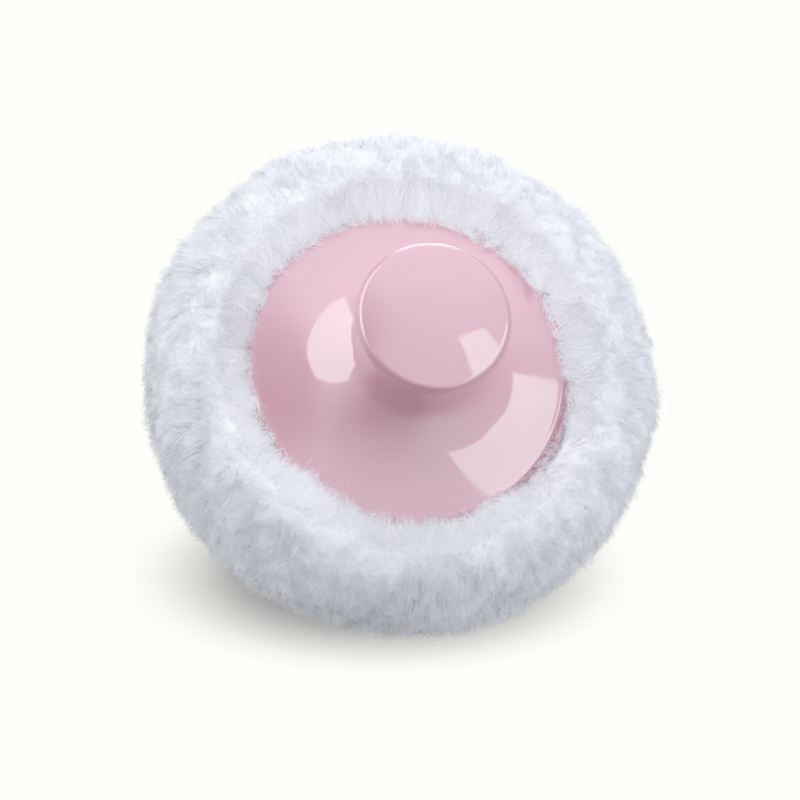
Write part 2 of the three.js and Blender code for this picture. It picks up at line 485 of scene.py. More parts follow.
@dataclass(frozen=True)
class WarpKnit(Finish):
    """Warp-knitted polyester ground: small loops in rows, matt white, mottled with painted shade for the
    hollows.
    """

    name: str = "warp-knit polyester ground"
    colour: str = "#EDEDF2"
    # Painted shade for the hollows between the loops.
    painted_shade_colour: str = "#D6D7DE"
    roughness: float = 0.9
    loop_spacing: float = 0.9
    loop_height: float = 0.15
    loop_wobble: float = 0.6

    def pattern(self, tree: bpy.types.NodeTree, shader: bpy.types.Node) -> None:
        """Draw the rows of loops and mottle the painted shade over the knit.

        Args:
            tree: Node tree of the material.
            shader: Its main shader.
        """
        # Painted shade, laid by noise at the size of a loop.
        self.mottle(tree, shader, self.painted_shade_colour, self.loop_spacing)
        spot = {"Vector": add_node(tree, "ShaderNodeTexCoord").outputs["Object"]}
        rows = {"Scale": band_scale(self.loop_spacing), "Distortion": self.loop_wobble}
        waves = {}
        for number, axis in enumerate("XY"):
            wave = add_node(tree, "ShaderNodeTexWave", {"bands_direction": axis, **rows}, spot)
            waves[number] = wave.outputs["Fac"]
        loops = add_node(tree, "ShaderNodeMath", {"operation": "MULTIPLY"}, waves)
        self.relief(tree, shader, loops.outputs["Value"], self.loop_height)


@dataclass(frozen=True)
class OpenCellFoam(Finish):
    """Cut polyether foam: off white, matt, with open pores painted darker inside as shade."""

    name: str = "cut polyether foam"
    colour: str = "#F3EFE5"
    # Painted shade at the bottom of each pore.
    painted_pore_shade: str = "#D9D2C2"
    roughness: float = 0.97
    pore_width: float = 0.7
    pore_depth: float = 0.3

    def pattern(self, tree: bpy.types.NodeTree, shader: bpy.types.Node) -> None:
        """Draw the pores, sunk and painted darker inside as shade.

        Args:
            tree: Node tree of the material.
            shader: Its main shader.
        """
        spot = {"Vector": add_node(tree, "ShaderNodeTexCoord").outputs["Object"]}
        pores = add_node(tree, "ShaderNodeTexVoronoi", {"Scale": 1 / (self.pore_width * MM)}, spot)
        # Painted shade: darkest at the middle of each pore, where the relief is lowest.
        shades = {"Color1": linear(self.painted_pore_shade), "Color2": linear(self.colour)}
        mix = add_node(tree, "ShaderNodeMixRGB", shades, {"Fac": pores.outputs["Distance"]})
        tree.links.new(mix.outputs["Color"], shader.inputs["Base Color"])
        self.relief(tree, shader, pores.outputs["Distance"], self.pore_depth)


@dataclass(frozen=True)
class SatinPolypropylene(Finish):
    """Polypropylene from a spark-eroded tool: milky white with a fine satin grit."""

    name: str = "satin natural polypropylene"
    colour: str = "#F0EEE9"
    flow_colour: str = "#E6E3DC"
    roughness: float = 0.45
    ior: float = 1.49
    flow_width: float = 9
    grit_width: float = 0.35
    grit_height: float = 0.02

    def pattern(self, tree: bpy.types.NodeTree, shader: bpy.types.Node) -> None:
        """Draw flow shades and the grit.

        Args:
            tree: Node tree of the material.
            shader: Its main shader.
        """
        self.mottle(tree, shader, self.flow_colour, self.flow_width)
        spot = {"Vector": add_node(tree, "ShaderNodeTexCoord").outputs["Object"]}
        grains = {"Scale": 1 / (self.grit_width * MM), "Detail": 2.0}
        grit = add_node(tree, "ShaderNodeTexNoise", grains, spot)
        self.relief(tree, shader, grit.outputs["Fac"], self.grit_height)


@dataclass(frozen=True)
class TwistedPolyester(Finish):
    """Twisted polyester sewing thread: white with a slight lustre and slanting plies, painted darker in the
    grooves as shade.
    """

    name: str = "twisted polyester thread"
    colour: str = "#F6F6F3"
    # Painted shade in the grooves between the plies.
    painted_groove_shade: str = "#D8D8D6"
    roughness: float = 0.6
    ply_spacing: float = 0.6
    ply_height: float = 0.08

    def pattern(self, tree: bpy.types.NodeTree, shader: bpy.types.Node) -> None:
        """Draw the slanting plies, with painted shade in the grooves.

        Args:
            tree: Node tree of the material.
            shader: Its main shader.
        """
        spot = {"Vector": add_node(tree, "ShaderNodeTexCoord").outputs["Object"]}
        slant = {"bands_direction": "DIAGONAL", "Scale": band_scale(self.ply_spacing)}
        plies = add_node(tree, "ShaderNodeTexWave", slant, spot)
        # Painted shade where the plies dip.
        shades = {"Color1": linear(self.painted_groove_shade), "Color2": linear(self.colour)}
        mix = add_node(tree, "ShaderNodeMixRGB", shades, {"Fac": plies.outputs["Fac"]})
        tree.links.new(mix.outputs["Color"], shader.inputs["Base Color"])
        self.relief(tree, shader, plies.outputs["Fac"], self.ply_height)


@dataclass(frozen=True)
class SetHotMelt(Finish):
    """Hot-melt glue that has set in a pressed ring: pale amber, waxy, with drag marks."""

    name: str = "set hot-melt glue"
    colour: str = "#EDE3CB"
    streak_colour: str = "#DDCFAF"
    roughness: float = 0.35
    ior: float = 1.48
    streak_width: float = 2.4
    streak_height: float = 0.15

    def pattern(self, tree: bpy.types.NodeTree, shader: bpy.types.Node) -> None:
        """Draw the drag marks.

        Args:
            tree: Node tree of the material.
            shader: Its main shader.
        """
        streaks = self.mottle(tree, shader, self.streak_colour, self.streak_width)
        self.relief(tree, shader, streaks.outputs["Fac"], self.streak_height)


@dataclass
class Handle:
    """Glossy moulding for the fingers: a flared skirt, a slim neck and a capped knob.

    Radii that the frame sets are read when the handle is built. Angles are in degrees.
    """

    rim_thickness: float = 2.6
    flange_width: float = 1.1
    flange_thickness: float = 1.3
    wall: float = 1.8
    flare_slope: float = 9
    flare_reach: float = 11
    flare_sweep: float = 8
    neck_radius: float = 6.5
    neck_height: float = 16.3
    knob_height: float = 25.8
    knob_sweep: float = 5
    knob_undercut: float = 38
    knob_undercut_reach: float = 5.7
    land_radius: float = 19
    snap_lip: float = 1
    snap_lip_height: float = 1.6
    cap_overhang: float = 0.6
    cap_round: float = 1.3
    cap_under_round: float = 0.7
    cap_slope: float = 9
    spigot_wall: float = 1.2
    spigot_depth: float = 0.8
    spigot_gap: float = 0.3
    edge_round: float = 0.5
    edge_start: float = -50
    seam_round: float = 0.12
    crease: float = 40
    segments: int = 192
    finish: Finish = field(default_factory=PolishedAbs)
    underside_height: float = field(init=False)
    rim_radius: float = field(init=False)
    knob_radius: float = field(init=False)
    cup_radius: float = field(init=False)

    def skirt(self) -> np.ndarray:
        """Draw the outside from the shoulder of the rim up to the waist of the neck.

        Returns:
            Rows of radius and height above the underside of the rim.
        """
        foot = self.rim_radius - self.flange_width - (self.rim_thickness - self.flange_thickness)
        slope = math.radians(self.flare_slope)
        reach = self.flare_reach
        control = [
            (foot, self.rim_thickness),
            (foot - reach * math.cos(slope), self.rim_thickness + reach * math.sin(slope)),
            (self.neck_radius, self.neck_height - self.flare_sweep),
            (self.neck_radius, self.neck_height),
        ]
        return sweep(control, steps=48)

    def shoulder(self) -> np.ndarray:
        """Draw the round step from the flange up to the skirt.

        Returns:
            Rows of radius and height above the underside of the rim.
        """
        step = self.rim_thickness - self.flange_thickness
        foot = self.rim_radius - self.flange_width - step
        return arc((foot, self.flange_thickness), (step, step), 0, 90, steps=14)

    def underside(self) -> np.ndarray:
        """Draw the outside from the waist of the neck out to the lower edge of the knob.

        Returns:
            Rows of radius and height above the underside of the rim.
        """
        slope = math.radians(self.knob_undercut)
        reach = self.knob_undercut_reach
        control = [
            (self.neck_radius, self.neck_height),
            (self.neck_radius, self.neck_height + self.knob_sweep),
            (self.cup_radius - reach * math.cos(slope), self.knob_height - reach * math.sin(slope)),
            (self.cup_radius, self.knob_height),
        ]
        return sweep(control, steps=40)

    def shell_outline(self, seam: float) -> np.ndarray:
        """Draw the whole section of the hollow moulding.

        Args:
            seam: Height of its upper edge.

        Returns:
            Rows of radius and height above the underside of the rim.
        """
        flange, edge, lip = self.flange_thickness / 2, self.edge_round, self.seam_round
        skirt, underside = self.skirt(), self.underside()
        cup = self.cup_radius - self.wall
        cup_edge = (self.cup_radius - edge, self.knob_height + edge)
        skirt_inside, knob_inside = inset(skirt, self.wall), inset(underside, self.wall)
        cup_floor = np.interp(cup, knob_inside[:, 0], knob_inside[:, 1])
        lip_under = self.neck_height - self.snap_lip_height
        lip_radius = self.neck_radius - self.wall - self.snap_lip
        neck_inside = np.interp(lip_under, skirt_inside[:, 1], skirt_inside[:, 0])
        land_roof = np.interp(-self.land_radius, -skirt_inside[:, 0], skirt_inside[:, 1])
        above = (knob_inside[:, 0] < cup) & (knob_inside[:, 1] > self.neck_height)
        below = (skirt_inside[:, 0] < self.land_radius) & (skirt_inside[:, 1] < lip_under)
        return np.concatenate(
            (
                [(self.land_radius, 0)],
                arc((self.rim_radius - flange, flange), (flange, flange), -90, 90, steps=16),
                self.shoulder(),
                skirt[1:],
                underside[1:-1],
                arc(cup_edge, (edge, edge), self.edge_start, 0, steps=6),
                arc((self.cup_radius - lip, seam - lip), (lip, lip), 0, 90, steps=4),
                [(cup, seam), (cup, cup_floor)],
                knob_inside[above][::-1],
                [(self.neck_radius - self.wall, self.neck_height), (lip_radius, self.neck_height)],
                [(lip_radius, lip_under), (neck_inside, lip_under)],
                skirt_inside[below][::-1],
                [(self.land_radius, land_roof)],
            )
        )

    def cap_outline(self, base: float, top: float) -> np.ndarray:
        """Draw the section of the cap, a shallow dome with a spigot ring.

        Args:
            base: Height of its flat underside.
            top: Height of the dome.

        Returns:
            Rows of radius and height.
        """
        spigot = self.cup_radius - self.wall - self.spigot_gap
        inner = spigot - self.spigot_wall
        foot = base - self.spigot_depth
        slope = math.radians(self.cap_slope)
        under, round_ = self.cap_under_round, self.cap_round
        dome = self.knob_radius - round_ * (1 - math.sin(slope))
        rise = dome * math.tan(slope) / 2
        crown = (self.knob_radius - round_, top - rise - round_ * math.cos(slope))
        reach = np.linspace(1, 0, 33)[1:]
        return np.concatenate(
            (
                [(0, base), (inner, base), (inner, foot), (spigot, foot), (spigot, base)],
                arc((self.knob_radius - under, base + under), (under, under), -90, 0, steps=8),
                arc(crown, (round_, round_), 0, 90 - self.cap_slope, steps=14),
                np.column_stack((dome * reach, top - rise * reach ** 2)),
            )
        )

    def surface(self, radius: np.ndarray) -> np.ndarray:
        """Find the top of the rim and the skirt.

        Args:
            radius: Distances from the axis.

        Returns:
            Heights in the frame, or 0 outside the rim.
        """
        rim = [(self.rim_radius, self.flange_thickness)]
        outline = np.concatenate((rim, self.shoulder(), self.skirt()[1:]))[::-1]
        height = np.interp(radius, outline[:, 0], outline[:, 1]) + self.underside_height
        return np.where(radius < self.rim_radius, height, 0)

    def build(self) -> None:
        """Make the shell and the cap in the place of their nodes."""
        low, high = node_box("handle_shell")
        self.underside_height = low[2]
        cap_low, cap_high = node_box("knob_cap")
        self.rim_radius = high[0]
        self.knob_radius = cap_high[0]
        self.cup_radius = self.knob_radius - self.cap_overhang
        pink = self.finish.material()
        outline = self.shell_outline(high[2] - low[2]) + (0, low[2])
        shell = mesh_piece("handle_moulding", *turned(outline, self.segments), pink, self.crease)
        settle(shell, Body.HANDLE, Slot.ABS, "handle_shell")
        outline = self.cap_outline(cap_low[2] + self.spigot_depth, cap_high[2])
        cap = mesh_piece("knob_face", *turned(outline, self.segments), pink, self.crease)
        settle(cap, Body.HANDLE, Slot.ABS, "knob_cap")


@dataclass
class Pad:
    """What the pile grows on and what holds it to the handle."""

    flat_radius: float = 25.35
    edge_round: float = 4.65
    crown: float = 1.5
    plate_gap: float = 0.3
    floor_gap: float = 0.1
    plate_thickness: float = 1.8
    cloth_thickness: float = 1.2
    cloth_gap: float = 0.3
    cloth_cut: float = 104
    hem_radius: float = 15
    stitch_count: int = 10
    stitch_pleat: float = 0.4
    pleats_per_stitch: int = 4
    free_pleat: float = 0.5
    free_radius: float = 16.4
    free_blend: float = 1.5
    glue_radius: float = 19
    foam_segments: int = 96
    foam_crease: float = 40
    cloth_segments: int = 240
    cloth_crease: float = 60
    foam_low: float = field(init=False)
    foam_high: float = field(init=False)

    def padline(self, outset: float) -> np.ndarray:
        """Draw the outside of the pad, from the middle of its face to its flat top.

        Args:
            outset: Distance from the foam.

        Returns:
            Rows of radius and height.
        """
        share = np.linspace(0, 1, 14)[:-1]
        face = np.column_stack((self.flat_radius * share, self.foam_low - outset + self.crown * share ** 2))
        round_ = self.edge_round + outset
        edge = arc((self.flat_radius, self.foam_high - self.edge_round), (round_, round_), -90, 90, steps=28)
        return np.concatenate((face, edge))

    def foam(self) -> None:
        """Make the foam with the recess that takes the plate."""
        recess = node_box("base_plate")[1][0] + self.plate_gap
        floor = self.foam_high - self.plate_thickness - self.floor_gap
        outline = np.concatenate((self.padline(0), [(recess, self.foam_high), (recess, floor), (0, floor)]))
        section = turned(outline, self.foam_segments)
        core = mesh_piece("foam_pad", *section, OpenCellFoam().material(), self.foam_crease)
        settle(core, Body.HANDLE, Slot.FOAM, "foam_core")

    def cloth(self) -> None:
        """Make the knitted ground, drawn round the foam with its hem pleated by the thread."""
        outer = self.padline(self.cloth_gap + self.cloth_thickness)
        inner = self.padline(self.cloth_gap)
        reach = np.linspace(self.flat_radius, self.hem_radius, 24)[1:]
        over = np.column_stack((reach, 0 * reach + outer[-1, 1]))
        under = np.column_stack((reach, 0 * reach + inner[-1, 1]))
        outline = np.concatenate((outer, over, under[::-1], inner[::-1]))
        points, corners, sizes = turned(outline, self.cloth_segments)
        radius = np.hypot(points[:, 0], points[:, 1])
        angle = np.arctan2(points[:, 1], points[:, 0])
        on_top = points[:, 2] > inner[-1, 1] - TOUCH
        free = np.clip((self.glue_radius - radius) / self.free_blend, 0, 1) * on_top
        inside = np.clip(self.free_radius - radius, 0, 1)
        lift = self.stitch_pleat * (1 + np.cos(self.stitch_count * angle)) / 2
        fine = self.free_pleat * (1 + np.cos(self.stitch_count * self.pleats_per_stitch * angle)) / 2
        points[:, 2] += free * (lift + inside * fine)
        knit = WarpKnit().material()
        ground = mesh_piece("knitted_ground", points, corners, sizes, knit, self.cloth_crease)
        settle(ground, Body.HANDLE, Slot.KNIT, "backing_cloth")

    def build(self, nodes: Mapping[str, bpy.types.Object]) -> None:
        """Make the soft pieces and dress the small hard ones.

        Args:
            nodes: Objects of the frame.
        """
        low, high = node_box("foam_core")
        self.foam_low, self.foam_high = low[2], high[2]
        self.foam()
        self.cloth()
        dress = {
            "base_plate": SatinPolypropylene(),
            "gathering_thread": TwistedPolyester(),
            "glue_ring": SetHotMelt(),
        }
        for node, finish in dress.items():
            nodes[node].data.materials.clear()
            nodes[node].data.materials.append(finish.material())
            log.info("%s: dressed in %s", node, finish.name)


class PileLine:
    """Outline of the pile, read by the distance along it."""

    def __init__(self, points: np.ndarray) -> None:
        """Measure the outline.

        Args:
            points: Rows of radius and height, from the middle of the face round to the lip.
        """
        steps = np.hypot(*np.diff(points, axis=0).T)
        self.along = np.concatenate(([0], np.cumsum(steps)))
        tangent = np.gradient(points, self.along, axis=0)
        tangent /= np.hypot(*tangent.T)[:, None]
        self.columns = np.column_stack((points, tangent[:, 1], -tangent[:, 0]))
        middle = (points[1:, 0] + points[:-1, 0]) / 2
        self.area = np.concatenate(([0], np.cumsum(middle * steps)))

    def at(self, along: np.ndarray) -> tuple[np.ndarray, np.ndarray]:
        """Read places and outward directions.

        Args:
            along: Distances along the outline.

        Returns:
            Rows of radius and height, and rows of the outward direction.
        """
        found = np.column_stack([np.interp(along, self.along, column) for column in self.columns.T])
        return found[:, :2], found[:, 2:]

    def even(self, start: float, end: float, shares: np.ndarray) -> np.ndarray:
        """Split a stretch so that each share sweeps the same area when turned.

        Args:
            start: Distance where the stretch starts.
            end: Distance where it ends.
            shares: Shares of the swept area, from 0 to 1.

        Returns:
            Distances along the outline.
        """
        low, high = np.interp((start, end), self.along, self.area)
        return np.interp(low + shares * (high - low), self.area, self.along)


def placed(flat: np.ndarray, angle: np.ndarray) -> np.ndarray:
    """Turn rows of radius and height to their angles.

    Args:
        flat: Rows of radius and height, as places or as directions.
        angle: An angle for each row.

    Returns:
        Rows of x, y and z.
    """
    return np.column_stack((flat[:, 0] * np.cos(angle), flat[:, 0] * np.sin(angle), flat[:, 1]))


@dataclass
class Fibres:
    """Fibres of the pile, laid out but not yet made into a mesh."""

    paths: np.ndarray
    facing: np.ndarray
    turn: np.ndarray
    along: np.ndarray
    shade: np.ndarray

    def pick(self, chosen: np.ndarray) -> "Fibres":
        """Pick some of the fibres by a mask."""
        parts = (self.paths, self.facing, self.turn, self.along, self.shade)
        return Fibres(*(part[chosen] for part in parts))


@dataclass(frozen=True)
class Tufting:
    """How a stretch of the pile is tufted and combed.

    Attributes:
        tufts: Number of tufts.
        fibres: Number of fibres in each.
        radius: Mean radius of a fibre at its root.
        lean: How far the tips lean away from the crest.
        droop: How far the lowest tips hang below the outline.
        tilt: How far the tufts turn out of the even surface.
        stray: Spread of the tufts' own lean, as a share of the lean.
        clump: How far the fibres of a tuft draw together at the tips, from 0 to 1.
        rough: Spread of the tufts' heights.
    """

    tufts: int
    fibres: int
    radius: float = 0.045
    lean: float = 3.4
    droop: float = 0
    tilt: float = 0.16
    stray: float = 0.27
    clump: float = 0.5
    rough: float = 0.35


@dataclass
class Plush:
    """Long soft pile: a ring round the handle and a face that rests on the table.

    Attributes:
        drifts: Angle, width and outward reach of each place where the lip is brushed aside, in degrees and
            millimetres.
        lumps: Count round the axis, pitch along the outline and height of each set of soft lumps.
        calm: Share of the lumps before and after the foot, on the side, on the inner slope and at the lip.
        face_section: Section of the face's underfur, above its lowest level.
        stations: Places along a fibre, as a share of its length, and how far it is frizzed there.
        taper: Share of the root's radius at the stations before the tip.
    """

    handle: Handle
    rest_radius: float = 30
    crest_radius: float = 34.5
    waist_height: float = 18.9
    crest_run: float = 3
    lip_radius: float = 26.9
    lip_height: float = 26.6
    lip_run_out: float = 3.2
    lip_rise: float = 0.35
    lip_run: float = 7
    drifts: tuple[tuple[float, float, float], ...] = (
        (4, 14, -1.0), (30, 26, -0.8), (84, 34, -1.3), (182, 26, -0.3),
        (232, 16, -1.7), (262, 12, -0.6), (299, 7, -1.2), (330, 16, 2.3),
    )
    lumps: tuple[tuple[int, float, float], ...] = (
        (5, 41, 0.45), (9, 27, 0.4), (14, 19, 0.34), (23, 13, 0.24), (37, 9, 0.16), (53, 6.5, 0.1),
    )
    calm: tuple[float, ...] = (0.3, 1, 0.9, 0.7, 0.4)
    foot_blend: float = 4
    side_run: float = 14
    slope_run: float = 6
    underfur_depth: float = 1.3
    underfur_segments: int = 320
    lip_depth: float = 0.7
    thin_run: float = 9
    thin_power: float = 0.7
    rim_gap: float = 0.35
    cloth_face: float = 9.3
    cloth_wall: float = 31.95
    cloth_shoulder: tuple[float, float] = (25.35, 16.95)
    cloth_round: float = 6.6
    hem_angle: float = 55
    face_section: tuple[tuple[float, float], ...] = (
        (0, 0), (24, 0), (30, 0.3), (31.5, 1.5), (30, 6.3), (24, 7.7), (0, 7.5),
    )
    face_segments: int = 160
    face_margin: float = 2
    face_spare: float = 0.03
    ring: Tufting = Tufting(2700, 40)
    fringe: Tufting = Tufting(900, 27, 0.04, 4.4, 1.9, 0.5, 0.45, 0.72, 0.6)
    face: Tufting = Tufting(600, 20)
    fringe_band: float = 3.4
    sectors: int = 12
    tuft_radius: float = 1.15
    tuft_scatter: float = 0.6
    clump_spread: float = 0.2
    fall_run: float = 10
    fibre_stray: float = 0.5
    tip_sink: float = 0.25
    tip_spread: float = 0.45
    sink: float = 1.8
    bend: float = 0.6
    stations: tuple[tuple[float, float], ...] = ((0, 0), (0.42, 0.16), (0.74, 0.2), (1, 0))
    taper: tuple[float, float, float] = (1, 0.92, 0.62)
    girth_range: tuple[float, float] = (0.75, 1.25)
    roundness: float = 0.14
    strand_width: float = 0.004
    clearance: float = 0.12
    ragged: float = 0.28
    ragged_run: float = 1
    wisp_share: float = 0.002
    wisp_reach: float = 0.7
    lift: float = 0.3
    lip_lift: float = 0.8
    shade_start: float = -2
    shade_end: float = 6
    shade_share: float = 0.36
    travel: float = 6
    waist_radius: float = field(init=False)
    crest_height: float = field(init=False)
    crest_along: float = field(init=False)
    phases: np.ndarray = field(init=False)
    line: PileLine = field(init=False)

    def outline(self) -> np.ndarray:
        """Draw the mean outline of the tips.

        Returns:
            Rows of radius and height, from the middle of the face round to the lip.
        """
        reach = np.linspace(0, self.rest_radius, 61)
        flat = np.column_stack((reach, 0 * reach))
        waist = self.waist_height
        foot = (self.waist_radius - self.rest_radius, waist)
        lower = arc((self.rest_radius, waist), foot, -90, 0, steps=60)
        crest = (self.waist_radius - self.crest_radius, self.crest_height - waist)
        upper = arc((self.crest_radius, waist), crest, 0, 90, steps=50)
        control = [
            (self.crest_radius, self.crest_height),
            (self.crest_radius - self.crest_run, self.crest_height),
            (self.lip_radius + self.lip_run_out, self.lip_height + self.lip_rise),
            (self.lip_radius, self.lip_height),
        ]
        inner = sweep(control, steps=30)
        return np.concatenate((flat, lower[1:], upper[1:], inner[1:]))

    def swell(self, along: np.ndarray, angle: np.ndarray) -> np.ndarray:
        """Work out the soft lumps of the pile.

        Args:
            along: Distances along the outline.
            angle: Angles round the axis.

        Returns:
            Heights above the mean outline.
        """
        height = np.zeros(np.broadcast(along, angle).shape)
        for (count, pitch, rise), (first, second) in zip(self.lumps, self.phases):
            height += rise * np.cos(count * angle + first) * np.cos(2 * math.pi * along / pitch + second)
        foot, side = self.rest_radius, self.crest_along - self.side_run
        slope, lip = self.line.along[-1] - self.slope_run, self.line.along[-1]
        places = (foot - self.foot_blend, foot + self.foot_blend, side, slope, lip)
        return height * np.interp(along, places, self.calm)

    def drift(self, along: np.ndarray, angle: np.ndarray) -> np.ndarray:
        """Work out where the lip lies over the rim and where it is parted from it.

        Args:
            along: Distances along the outline.
            angle: Angles round the axis.

        Returns:
            How far the pile is brushed outwards.
        """
        shift = np.zeros(np.broadcast(along, angle).shape)
        for middle, width, reach in self.drifts:
            away = np.angle(np.exp(1j * (angle - math.radians(middle)))) / math.radians(width)
            shift += reach * np.exp(-(away ** 2))
        share = np.clip(1 - (self.line.along[-1] - along) / self.lip_run, 0, 1)
        return shift * share ** 2 * (3 - 2 * share)

    def depth(self, along: np.ndarray) -> np.ndarray:
        """Work out how deep the underfur lies below the tips.

        Args:
            along: Distances along the outline.

        Returns:
            Depths, which shrink towards the lip.
        """
        near = np.clip((self.line.along[-1] - along) / self.thin_run, 0, 1)
        return self.lip_depth + (self.underfur_depth - self.lip_depth) * near ** self.thin_power

    def fibres(self, start: float, end: float, tufting: Tufting, rng: np.random.Generator) -> Fibres:
        """Lay out tufts of fibres over a stretch of the outline.

        Args:
            start: Distance along the outline where the stretch starts.
            end: Distance where it ends.
            tufting: How the stretch is tufted and combed.
            rng: Source of the scatter.

        Returns:
            The fibres.
        """
        tufts, total = tufting.tufts, tufting.tufts * tufting.fibres
        order = np.arange(tufts)
        each = np.repeat(order, tufting.fibres)
        middle = self.line.even(start, end, (order + rng.random(tufts)) / tufts)
        radius = np.maximum(self.line.at(middle)[0][:, 0], 1)
        turn = order * GOLDEN_TURN + rng.normal(0, self.tuft_scatter, tufts) / radius
        least, most = tufting.clump - self.clump_spread, tufting.clump + self.clump_spread
        pull = rng.uniform(least, most, tufts)[each]
        offset = rng.normal(0, self.tuft_radius, (2, total))
        tuft_lean = rng.normal(0, tufting.stray * tufting.lean, (2, tufts))[:, each]
        tuft_rise = rng.normal(0, tufting.rough, tufts)[each]
        fall = np.clip((middle[each] - self.crest_along) / self.fall_run, -1, 1)
        tip_along = middle[each] + offset[0] * (1 - pull)
        tip_turn = turn[each] + offset[1] * (1 - pull) / radius[each]
        lean = fall * tufting.lean + tuft_lean[0] + rng.normal(0, self.fibre_stray, total)
        root_along = middle[each] + offset[0] - lean
        root_turn = turn[each] + (offset[1] - tuft_lean[1]) / radius[each]
        tip_flat, tip_out = self.line.at(tip_along)
        root_flat, root_out = self.line.at(root_along)
        rise = self.swell(tip_along, tip_turn) + tuft_rise
        rise += rng.normal(-self.tip_sink, self.tip_spread, total)
        rise -= tufting.droop * rng.random(total) ** 2
        tip_flat = tip_flat + tip_out * rise[:, None]
        ragged = rng.normal(0, self.ragged, total)
        ragged -= np.where(rng.random(total) < self.wisp_share, rng.exponential(self.wisp_reach, total), 0)
        at_lip = tip_along > self.line.along[-1] - self.ragged_run
        tip_flat[:, 0] += self.drift(tip_along, tip_turn) + ragged * at_lip
        tip = placed(tip_flat, tip_turn)
        below = self.depth(root_along) + self.sink
        root_flat = root_flat - root_out * below[:, None]
        root_flat[:, 0] = np.abs(root_flat[:, 0])
        root = placed(root_flat, root_turn)
        upright = placed(root_out, root_turn)
        reach = np.linalg.norm(tip - root, axis=1)[:, None]
        bend = root + upright * reach * self.bend
        stops = []
        for share, frizz in self.stations:
            place = (1 - share) ** 2 * root + 2 * share * (1 - share) * bend + share ** 2 * tip
            stops.append(place + rng.normal(0, 1, place.shape) * frizz)
        paths = np.stack(stops, axis=1)
        floor = self.handle.surface(np.hypot(paths[:, :, 0], paths[:, :, 1]))
        above = paths[:, :, 2] > self.waist_height
        paths[:, :, 2] = np.maximum(paths[:, :, 2], np.where(above, floor, 0) + self.clearance)
        facing = self.facing(tip_along, tip_turn) + tufting.tilt * rng.normal(0, 1, (tufts, 3))[each]
        return Fibres(paths, facing, np.mod(root_turn, 2 * math.pi), tip_along, rng.random(total))

    def facing(self, along: np.ndarray, angle: np.ndarray) -> np.ndarray:
        """Work out which way the lumpy pile faces.

        Args:
            along: Distances along the outline.
            angle: Angles round the axis.

        Returns:
            Rows of outward directions.
        """
        step = 0.1
        flat, out = self.line.at(along)
        radius = np.maximum(flat[:, 0], 1)
        height = self.swell(along, angle)
        up = (self.swell(along + step, angle) - height) / step
        round_ = (self.swell(along, angle + step / radius) - height) / step
        tangent = np.column_stack((-out[:, 1], out[:, 0]))
        sideways = np.column_stack((-np.sin(angle), np.cos(angle), 0 * angle))
        bare = placed(out - tangent * up[:, None], angle) - sideways * round_[:, None]
        ends = (self.crest_along, self.line.along[-1])
        bare[:, 2] += np.interp(along, ends, (self.lift, self.lip_lift))
        return bare

    def strand_piece(
        self,
        name: str,
        fibres: Fibres,
        material: bpy.types.Material,
        radius: float,
        shading: bool,
        rng: np.random.Generator,
    ) -> bpy.types.Object:
        """Make closed three-sided strands that taper to a point.

        Args:
            name: Name of the piece.
            fibres: The fibres to make.
            material: Finish of the strands.
            radius: Mean radius at the root.
            shading: Whether they shade what lies under them.
            rng: Source of the scatter.

        Returns:
            The new object.
        """
        paths = fibres.paths
        count = len(paths)
        chord = paths[:, 3] - paths[:, 0]
        chord /= np.linalg.norm(chord, axis=1)[:, None]
        aside = np.cross(chord, rng.normal(0, 1, chord.shape))
        aside /= np.linalg.norm(aside, axis=1)[:, None]
        across = np.cross(chord, aside)
        girth = radius * rng.uniform(*self.girth_range, count)
        sides = np.arange(3) * 2 * math.pi / 3
        ring = aside[:, None] * np.cos(sides)[:, None] + across[:, None] * np.sin(sides)[:, None]
        widths = (girth[:, None] * np.array(self.taper))[:, :, None, None]
        hoops = paths[:, :3, None] + widths * ring[:, None]
        points = np.concatenate((hoops.reshape(count, 9, 3), paths[:, 3:]), axis=1)
        walls = [(a + s, a + (s + 1) % 3, a + 3 + (s + 1) % 3, a + 3 + s) for a in (0, 3) for s in range(3)]
        ends = [(6 + s, 6 + (s + 1) % 3, 9) for s in range(3)] + [(2, 1, 0)]
        single = np.array([corner for face in walls + ends for corner in face])
        corners = (single + 10 * np.arange(count)[:, None]).ravel()
        sizes = np.tile([len(face) for face in walls + ends], count)
        piece = mesh_piece(name, points.reshape(-1, 3), corners, sizes, material)
        width = self.strand_width
        column = np.array((0, width, width / 2) * 3 + (width / 2,))
        height = np.repeat([share for share, _ in self.stations], (3, 3, 3, 1))
        shade = fibres.shade[:, None] * (1 - width) + column
        spot = np.stack((shade, np.tile(height, (count, 1))), axis=-1)
        places = piece.data.uv_layers.new(name=STRAND_MAP)
        places.uv.foreach_set("vector", spot.reshape(-1, 2)[corners].astype(np.float32).ravel())
        out = np.repeat(fibres.facing[:, None], 10, axis=1)
        out /= np.linalg.norm(out, axis=2, keepdims=True)
        out[:, :9] = out[:, :9] * (1 - self.roundness) + np.tile(ring, (1, 3, 1)) * self.roundness
        out /= np.linalg.norm(out, axis=2, keepdims=True)
        piece.data.normals_split_custom_set_from_vertices(out.reshape(-1, 3).tolist())
        piece.visible_shadow = piece.visible_diffuse = shading
        return piece

    def lay(self, piece: bpy.types.Object, keep: float, *nodes: str) -> None:
        """Tie a piece of the pile to the pad and give it a mesh of its own.

        Args:
            piece: The piece.
            keep: Share of its height that it keeps when pressed; not used.
            nodes: Frame nodes that it stands for.
        """
        settle(piece, Body.PAD, Slot.PILE, *nodes)
        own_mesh(piece)

